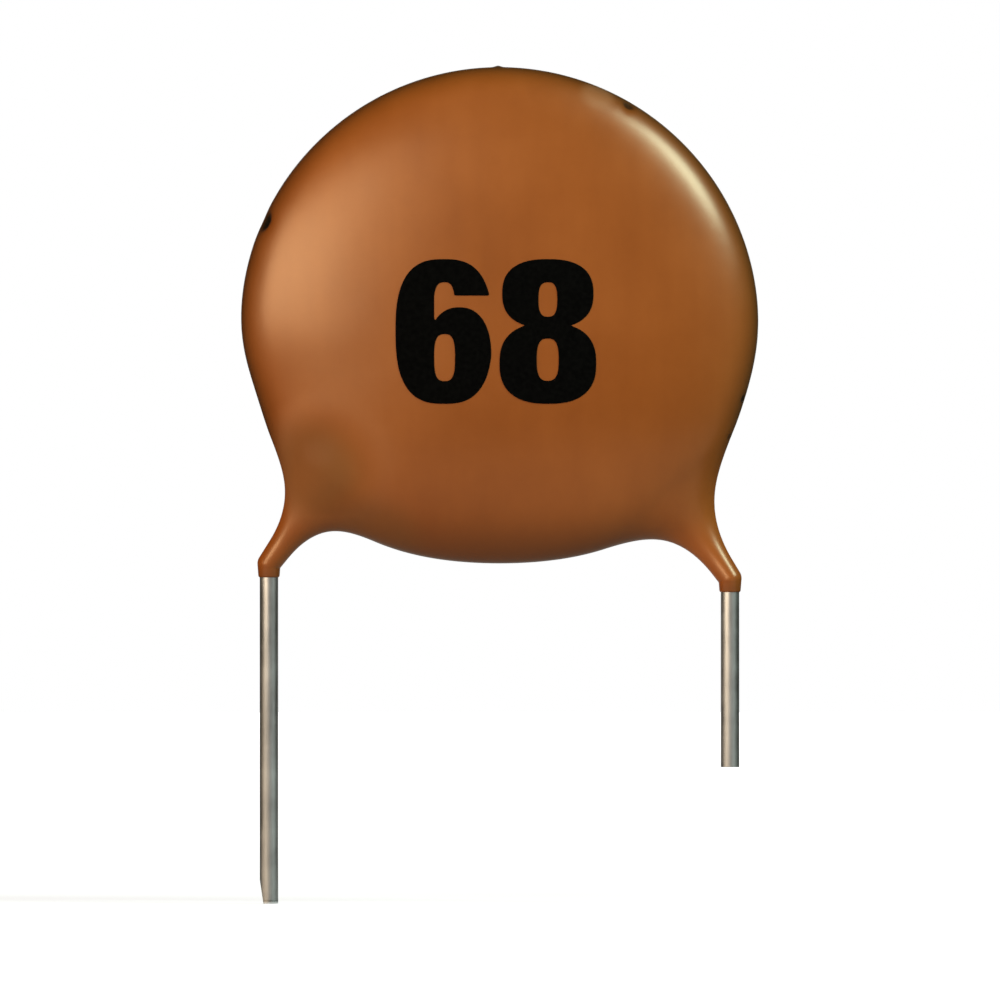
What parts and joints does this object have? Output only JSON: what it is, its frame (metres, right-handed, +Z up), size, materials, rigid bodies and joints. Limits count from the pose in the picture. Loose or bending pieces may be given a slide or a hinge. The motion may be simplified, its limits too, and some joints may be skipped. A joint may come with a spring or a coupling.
{
  "type": "ceramic disc capacitor",
  "caption": "Dipped disc capacitor: a round, brown resin-coated body whose coat runs down onto splayed wire leads, cut to different lengths, for soldering through a circuit board.",
  "frame": {"origin": "on the circuit board's surface, midway between the axes of the leads", "axes": "+Z up, away from the board; +X from the left lead to the right lead; the front face looks along -Y"},
  "size_m": [0.014, 0.0036, 0.0227],
  "materials": {
    "coat": "glossy brown dipped resin",
    "ceramic": "fired, unglazed",
    "silver": "matt fired silver",
    "solder": "bright tin solder",
    "lead": "dull tinned wire"
  },
  "bodies": {
    "root": {"coating": "coat", "ceramic_disc": "ceramic", "front_electrode": "silver", "rear_electrode": "silver", "front_solder": "solder", "rear_solder": "solder", "left_lead": "lead", "right_lead": "lead"}
  },
  "joints": []
}
